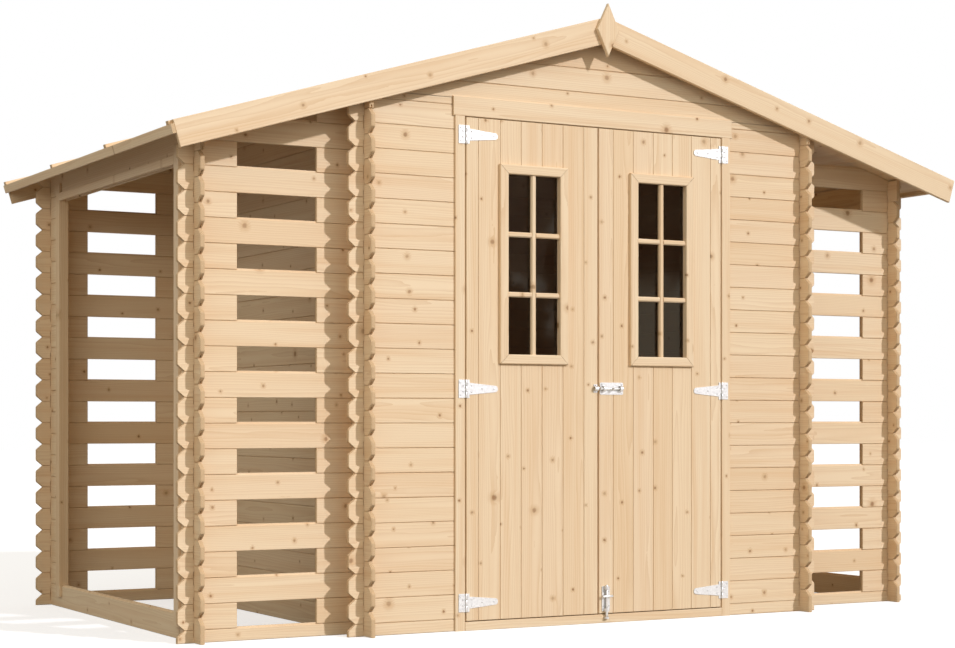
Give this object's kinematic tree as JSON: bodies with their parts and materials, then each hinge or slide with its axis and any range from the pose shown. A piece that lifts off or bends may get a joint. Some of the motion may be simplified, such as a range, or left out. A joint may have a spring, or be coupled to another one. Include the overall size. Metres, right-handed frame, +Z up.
{
  "type": "garden shed with log stores",
  "caption": "Gabled wooden garden shed of interlocking log boards with glazed double doors and slatted open-sided log stores on both sides under one roof.",
  "frame": {"origin": "on the ground, in the middle of the overall box", "axes": "+X to the right along the gabled front with the doors, +Y from the front to the rear, +Z up"},
  "size_m": [3.301, 1.93, 2.225],
  "materials": {
    "pine": "matte",
    "zinc": "satin",
    "glass": "gloss"
  },
  "bodies": {
    "shed": {"bolt_staple": "zinc", "door_head": "pine", "door_jamb_left": "pine", "door_jamb_right": "pine", "finial": "pine", "front_bargeboard_left": "pine", "front_bargeboard_right": "pine", "front_gable": "pine", "front_wall_left": "pine", "front_wall_right": "pine", "header_board": "pine", "left_bottom_rail": "pine", "left_eave_trim": "pine", "left_front_panel": "pine", "left_front_return": "pine", "left_head_rail": "pine", "left_hinge_plates": "zinc", "left_posts": "pine", "left_rear_panel": "pine", "left_rear_return": "pine", "left_roof_battens": "pine", "left_top_log": "pine", "purlins": "pine", "rear_bargeboard_left": "pine", "rear_bargeboard_right": "pine", "rear_wall": "pine", "right_bottom_rail": "pine", "right_eave_trim": "pine", "right_front_panel": "pine", "right_front_return": "pine", "right_head_rail": "pine", "right_hinge_plates": "zinc", "right_posts": "pine", "right_rear_panel": "pine", "right_rear_return": "pine", "right_roof_battens": "pine", "right_top_log": "pine", "roof_left": "pine", "roof_right": "pine", "side_wall_left": "pine", "side_wall_right": "pine", "sill": "pine"},
    "left_door": {"left_leaf": "pine", "left_ledges": "pine", "left_window_frame": "pine", "left_glass": "glass", "left_hinge_straps": "zinc", "latch_keeper": "zinc"},
    "right_door": {"right_leaf": "pine", "right_ledges": "pine", "right_window_frame": "pine", "right_glass": "glass", "right_hinge_straps": "zinc", "latch_plate": "zinc", "bolt_plate": "zinc"},
    "latch_rod": {"latch_rod": "zinc"},
    "bolt_rod": {"bolt_rod": "zinc"}
  },
  "joints": [
    {"name": "left_door_hinge", "type": "hinge", "parent": "shed", "child": "left_door", "pos_m": [-0.546, -0.8995, 0], "axis": [0, 0, -1], "range_deg": [0, 160]},
    {"name": "right_door_hinge", "type": "hinge", "parent": "shed", "child": "right_door", "pos_m": [0.546, -0.8995, 0], "axis": [0, 0, 1], "range_deg": [0, 160]},
    {"name": "latch_slide", "type": "slide", "parent": "right_door", "child": "latch_rod", "axis": [-1, 0, 0], "range_m": [0, 0.022]},
    {"name": "bolt_slide", "type": "slide", "parent": "right_door", "child": "bolt_rod", "axis": [0, 0, -1], "range_m": [0, 0.012]}
  ]
}
